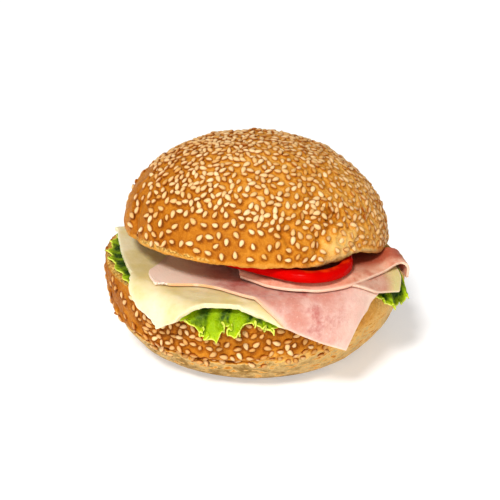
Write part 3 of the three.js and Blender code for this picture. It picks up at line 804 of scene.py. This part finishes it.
def outline(front, back, left, right):
    """Fills a four-sided outline, given as its front, back, left and right edges."""
    f, b, l, r = (spline(edge) for edge in (front, back, left, right))

    def at(u, v):
        p = f(u) * (1 - v) + b(u) * v + l(v) * (1 - u) + r(v) * u
        corners = f(0) * (1 - u) * (1 - v) + f(1) * u * (1 - v) + b(0) * (1 - u) * v + b(1) * u * v
        return p - corners
    return at


def shelf(x, y):
    """The bunch of lettuce at the front holds the slices out this far."""
    return 6.5 * bell(turn(math.atan2(y, x) + math.radians(103)) / math.radians(14))


def slice_uv(wire):
    """The u and v of a slice; u is 0 on its left edge and v on its front one."""
    place = wire.node("UVMap", {"uv_map": "flat"})
    return (wire.node("SeparateXYZ", values={0: place}, out=0),
            wire.node("SeparateXYZ", values={0: place}, out=1))


def cheese_paste(wire):
    """Pale waxy yellow, lighter along the cut edges."""
    haze = wire.spots(16, 3, 0.6)
    grain = wire.spots(1.2, 3, 0.6)
    u, v = slice_uv(wire)
    paste = wire.mix(wire.window(haze, 0.3, 0.7), srgb(218, 200, 140), srgb(234, 220, 184))
    paste = wire.mix(wire.window(grain, 0.55, 0.75) * 0.2, paste, srgb(214, 186, 108))
    cut_edge = 1 - wire.window(u, 0.0, 0.02) * wire.window(v, 0.0, 0.01)
    paste = wire.mix(cut_edge * 0.4, paste, srgb(246, 236, 204))
    return wire.node("BsdfPrincipled", values={
        "Base Color": paste, "Roughness": 0.38 + haze * 0.15,
        "Normal": wire.relief(grain * 0.4 + haze, 0.3),
        "Specular IOR Level": 0.25, "Subsurface Weight": 0.2,
        "Subsurface Radius": (1.0, 0.7, 0.3), "Subsurface Scale": 0.003})


cheese_skin = material("cheese", cheese_paste)
flat_cheese = outline(
    [(-37.4, -57.2), (-27.6, -58.6), (-14, -61.2), (-3, -61.9), (8.7, -62.2), (18, -63.6), (26, -63.2),
     (32.5, -60.5)],
    [(-55.8, 14.6), (-30, 22), (-2, 29), (24, 33)],
    [(-37.4, -57.2), (-38.6, -51.2), (-44.2, -39.8), (-50.4, -16.5), (-53.7, -0.6), (-55.8, 14.6)],
    [(32.5, -60.5), (32.2, -50), (31.8, -40), (30, -8), (24, 33)])


def cheese_at(u, v):
    x, y = flat_cheese(u, v)
    x += 0.7 * abs(cloud(x, y, 1, 2.2)) * bell(u / 0.03)
    y += 0.4 * abs(cloud(x, y, 5, 3, 2)) * bell(v / 0.03)
    sag = 0.5 * cloud(x, y, 8, 16, 2) * ramp(54, 60, math.hypot(x, y))
    return drape(x, y, CHEESE_H + swell(x, y) + sag, held=shelf(x, y))


bm = spread(cheese_at, 150, 150)
thicken(finished("cheese", bm, cheese_skin, "cheese", "cheese_slice"), CHEESE_T, 0.5)


# ---- Ham --------------------------------------------------------------------
# Three thin slices of cooked ham: mottled pink, moist, with pale cut edges and
# a browned rind in places. The lowest hangs a corner over the rim at the
# right, and the top one folds down over the right edge.
HAM_T = 1.0
HAM_EDGE = 0.4
HAM_LOW_H = 4.95  # heights of the slices' middles over the bread
HAM_MID_H = 6.55
HAM_TOP_H = 8.0


def sink(x):
    """The slices lie lower at the right, where no cheese is under them."""
    return -1.8 * ramp(33, 45, x)


def ham_paint(base, pale, deep, tint, tinted, rind=None):
    """Ham in these three tones, turning to the tint where tinted(u, v) is 1. Its
    front edge is browned from u = rind[0] to rind[1], if it has a rind."""
    def paint(wire):
        u, v = slice_uv(wire)
        blotch = wire.spots(11, 3, 0.6)
        streak = wire.spots(3.4, 4, 0.65, (1, 0.6, 1))
        grain = wire.spots(0.7, 3, 0.6)
        meat = wire.mix(wire.window(blotch, 0.36, 0.62), base, pale)
        meat = wire.mix(wire.window(blotch * 0.6 + streak * 0.5, 0.5, 0.76) * 0.8, meat, deep)
        meat = wire.mix(tinted(u, v), meat, tint)
        meat = wire.mix(wire.window(grain, 0.55, 0.75) * 0.3, meat, srgb(250, 222, 200))
        cut_edge = 1 - wire.window(v, 0.0, 0.02) * wire.window(1 - u, 0.0, 0.02)
        meat = wire.mix(cut_edge * 0.5, meat, srgb(252, 226, 202))
        if rind:
            start, end = rind
            along = wire.window(u, start - 0.02, start) * (1 - wire.window(u, end - 0.03, end))
            faint = 1 - wire.window(u, 0.26, 0.3) * 0.5
            patchy = wire.window(blotch, 0.3, 0.45) * 0.6
            brown = along * faint * (1 - wire.window(v, 0.0, 0.007)) * patchy
            meat = wire.mix(brown, meat, srgb(222, 150, 56))
        return wire.node("BsdfPrincipled", values={
            "Base Color": meat, "Roughness": 0.36 + grain * 0.25, "Specular IOR Level": 0.28,
            "Normal": wire.relief(streak * 0.6 + grain * 0.3, 0.4),
            "Subsurface Weight": 0.2, "Subsurface Radius": (1.0, 0.4, 0.3), "Subsurface Scale": 0.003})
    return paint


flat_low = outline(
    [(-35, -45.8), (-22, -45), (-14.5, -48.8), (-8, -54.5), (0, -59.4), (9.8, -61.4), (15.6, -63.2),
     (25.1, -64.8), (36.2, -64.6)],
    [(-33.6, -23.5), (-29, 4), (-10, 24), (14, 29), (36, 16), (47, -2), (51, -18)],
    [(-35, -45.8), (-38.3, -40.8), (-39.2, -33), (-33.6, -23.5)],
    [(36.2, -64.6), (37.4, -52.8), (39.4, -46.6), (43.6, -41), (48.5, -32), (51, -18)])


def ham_low_at(u, v):
    rounded_corner = Vector((1.3, 1.5)) * bell(u / 0.035) * bell(v / 0.035)
    x, y = flat_low(u, v) + rounded_corner
    s = math.hypot(x, y)
    hang = 0.4 * ramp(55.5, 60.5, s) + 0.4 * ramp(60, 70, s) * (1 + math.sin(0.22 * x + 0.6))
    return drape(x, y, HAM_LOW_H + swell(x, y) + sink(x) + hang, held=shelf(x, y))


# Tinted pale at both ends; at the left end the tint is painted light, keeping that end bright in the top
# half's shadow.
skin = material("ham_low", ham_paint(
    srgb(206, 144, 128), srgb(222, 180, 166), srgb(182, 92, 84), srgb(250, 222, 204),
    lambda u, v: 0.9 - u.window(u, 0.14, 0.42) * 0.9 + u.window(u, 0.86, 0.98) * 0.5,
    rind=(0.04, 0.66)))
bm = spread(ham_low_at, 170, 120)
thicken(finished("ham_lowest", bm, skin, "ham", "ham_low"), HAM_T, HAM_EDGE)

flat_mid = outline(
    [(4, -46.5), (14, -50), (24, -50.2), (32, -47.6), (39.9, -44.8), (45, -42.5), (52.2, -38.2)],
    [(2, 6), (18, 12), (36, 4), (51, -16)],
    [(4, -46.5), (0, -20), (2, 6)],
    [(52.2, -38.2), (52.4, -30), (51, -16)])


def ham_mid_at(u, v):
    x, y = flat_mid(u, v)
    return drape(x, y, HAM_MID_H + swell(x, y) + sink(x), 40, 6)


skin = material("ham_mid", ham_paint(
    srgb(202, 148, 126), srgb(214, 172, 150), srgb(188, 112, 90), srgb(220, 202, 140),
    lambda u, v: u.window(u, 0.84, 0.96)))
bm = spread(ham_mid_at, 100, 80)
thicken(finished("ham_middle", bm, skin, "ham", "ham_mid"), HAM_T, HAM_EDGE)

FOLD_R = 3.0
FOLD_RUN = 62.0  # from the left end to the fold
FOLD_BENT = FOLD_R * math.radians(95)
FOLD_LIP = 3.2
top_front = spline([(-5.4, -41.5), (-0.5, -46), (4.5, -50.4), (12.5, -53.2), (19.4, -53.6), (25.5, -52),
                    (33.8, -47.6), (42.9, -39.2), (52.6, -27.6)])
top_back = spline([(-10, -2), (8, 4), (28, 0), (42, -9), (52.6, -17.5)])


def ham_top_at(u, v):
    run = u * (FOLD_RUN + FOLD_BENT + FOLD_LIP)
    w = min(1, run / FOLD_RUN)
    x, y = top_front(w).lerp(top_back(w), v)
    rest_on = 1.3 * bell(v / 0.05) * ramp(44, 34, x)
    spot = drape(x, y, HAM_TOP_H + swell(x, y) + sink(x) + 1.6 * ramp(47, 52, x) - rest_on, 30, 8)
    past = run - FOLD_RUN
    if past > 0:
        a = min(past, FOLD_BENT) / FOLD_R
        rest = max(0, past - FOLD_BENT)
        spot += Vector((FOLD_R * math.sin(a) + rest * math.cos(a), 0.25 * past * (0.5 - v),
                        -FOLD_R * (1 - math.cos(a)) - rest * math.sin(a)))
    return spot


# Its dark tint over all but the front edge is painted shadow from the top half above it.
skin = material("ham_top", ham_paint(
    srgb(224, 154, 124), srgb(238, 186, 158), srgb(196, 96, 66), srgb(176, 78, 50),
    lambda u, v: v.window(v, 0.06, 0.4) * 0.85))
bm = spread(ham_top_at, 140, 80)
thicken(finished("ham_highest", bm, skin, "ham", "ham_top"), HAM_T, HAM_EDGE)


# ---- Red pepper ring --------------------------------------------------------
# A slice across a sweet red pepper: glossy skin outside, wet paler flesh where
# it is cut, three lobes, and the pod's hollow in the middle.
PEPPER_R = 26.3
PEPPER_LOBE = 3.3
PEPPER_WALL = 4.8
PEPPER_TALL = 4.2
PEPPER_LOBES_AT = math.radians(302)
PEPPER_WIDE_AT = math.radians(330)
PEPPER_STEPS = 180
SECTION_POINTS = 28
SPUN_R = 10  # the section is spun as a rod one wide and one high, then given its size
PEPPER_PLACE = (Matrix.Translation((11.6, -25.6, 44.73)) @ Matrix.Rotation(math.radians(1.2), 4, "Y")
                @ Matrix.Rotation(math.radians(-1.2), 4, "X"))


def pepper_flesh(wire):
    """Deep red skin, orange-red flesh on the cut faces ('flesh' is 1 there)."""
    flesh = wire.attribute("flesh")
    mottle = wire.spots(4, 3, 0.6)
    wet = wire.spots(0.8, 2, 0.5)
    skin = wire.mix(mottle, srgb(184, 2, 0), srgb(210, 6, 0))
    cut = wire.mix(wire.window(mottle, 0.42, 0.7), srgb(196, 10, 0), srgb(222, 62, 6))
    return wire.node("BsdfPrincipled", values={
        "Base Color": wire.mix(flesh, skin, cut), "Roughness": 0.18 + flesh * 0.1 + mottle * 0.1,
        "Normal": wire.relief(mottle + wet * flesh * 0.5, 0.4), "Specular IOR Level": 0.04,
        "Subsurface Weight": 0.15, "Subsurface Radius": (1.0, 0.2, 0.1), "Subsurface Scale": 0.002})


def squared(c):
    """A sine or cosine that makes a squarish circle, moved to run from 0 to 1."""
    return 0.5 + 0.5 * math.copysign(abs(c) ** 0.6, c)


angles = [2 * math.pi * i / SECTION_POINTS for i in range(SECTION_POINTS)]
bm = bmesh.new()
ring = [bm.verts.new((SPUN_R + squared(math.cos(t)), 0, squared(math.sin(t)))) for t in angles]
edges = [bm.edges.new(pair) for pair in zip(ring, ring[1:] + ring[:1])]
bmesh.ops.spin(bm, geom=ring + edges, axis=(0, 0, 1), cent=(0, 0, 0), steps=PEPPER_STEPS,
               angle=2 * math.pi, use_merge=True)
flesh = bm.verts.layers.float.new("flesh")
for v in bm.verts:
    a, w, h = math.atan2(v.co.y, v.co.x), math.hypot(v.co.x, v.co.y) - SPUN_R, v.co.z
    three = math.cos(3 * (a - PEPPER_LOBES_AT))
    outer = PEPPER_R + PEPPER_LOBE * three + math.cos(a - PEPPER_WIDE_AT)
    ribs = 0.5 * (1 - w) * math.sin(11 * a + 3 * h) + 0.25 * w * math.sin(9 * a + 1)
    r = outer - (PEPPER_WALL - 0.8 * three) * (1 - w) + 0.5 * math.sin(math.pi * h) * w + 0.6 * ribs
    v[flesh] = ramp(0.9, 0.7, w)
    v.co = PEPPER_PLACE @ Vector((r * math.cos(a), r * math.sin(a), PEPPER_TALL * h))
bmesh.ops.recalc_face_normals(bm, faces=bm.faces)
finished("pepper", bm, material("pepper", pepper_flesh), "pepper", "pepper_ring")


# ---- Floor, light and camera ------------------------------------------------
# A plain white floor, one soft sun over the viewer's left shoulder, a low fill
# lamp in front, and the photograph's viewpoint, a little above the roll.
FLOOR_HALF = 4  # metres
ROOM_LIGHT = 0.3
TARGET = Vector((-1.8, 0, 35.8)) * MM
ELEVATION = math.radians(23)
DISTANCE = 552 * MM


def white_floor(wire):
    return wire.node("BsdfPrincipled", values={
        "Base Color": srgb(220, 220, 220), "Roughness": 0.9,
        "Emission Color": srgb(255, 255, 255), "Emission Strength": 0.33})


bm = bmesh.new()
bmesh.ops.create_grid(bm, x_segments=1, y_segments=1, size=FLOOR_HALF)
mesh = bpy.data.meshes.new("floor")
bm.to_mesh(mesh)
bm.free()
mesh.materials.append(material("floor", white_floor))
floor = bpy.data.objects.new("floor", mesh)
bpy.context.collection.objects.link(floor)

world = bpy.data.worlds.new("white room")
world.use_nodes = True
world.node_tree.nodes["Background"].inputs["Color"].default_value = (1, 1, 1, 1)
world.node_tree.nodes["Background"].inputs["Strength"].default_value = ROOM_LIGHT
bpy.context.scene.world = world
bpy.context.scene.view_settings.view_transform = "Standard"
bpy.context.scene.view_settings.look = "Medium High Contrast"


def lamp(name, kind, place, energy):
    """A lamp at a place in metres that shines at the roll."""
    light = bpy.data.lights.new(name, kind)
    light.energy = energy
    body = bpy.data.objects.new(name, light)
    body.location = place
    body.rotation_euler = (TARGET - Vector(place)).to_track_quat("-Z", "Y").to_euler()
    bpy.context.collection.objects.link(body)
    return light


lamp("key", "SUN", (-0.3, -0.74, 0.96), 2.05).angle = math.radians(12)
lamp("fill", "AREA", (-0.25, -1.0, 0.2), 4.6).size = 0.7

camera = bpy.data.cameras.new("camera")
camera.lens = 100
camera.sensor_width = 36
camera.clip_start = 0.01
eye = bpy.data.objects.new("camera", camera)
eye.location = TARGET + Vector((0, -math.cos(ELEVATION), math.sin(ELEVATION))) * DISTANCE
eye.rotation_euler = (math.pi / 2 - ELEVATION, 0, 0)
bpy.context.collection.objects.link(eye)
bpy.context.scene.camera = eye
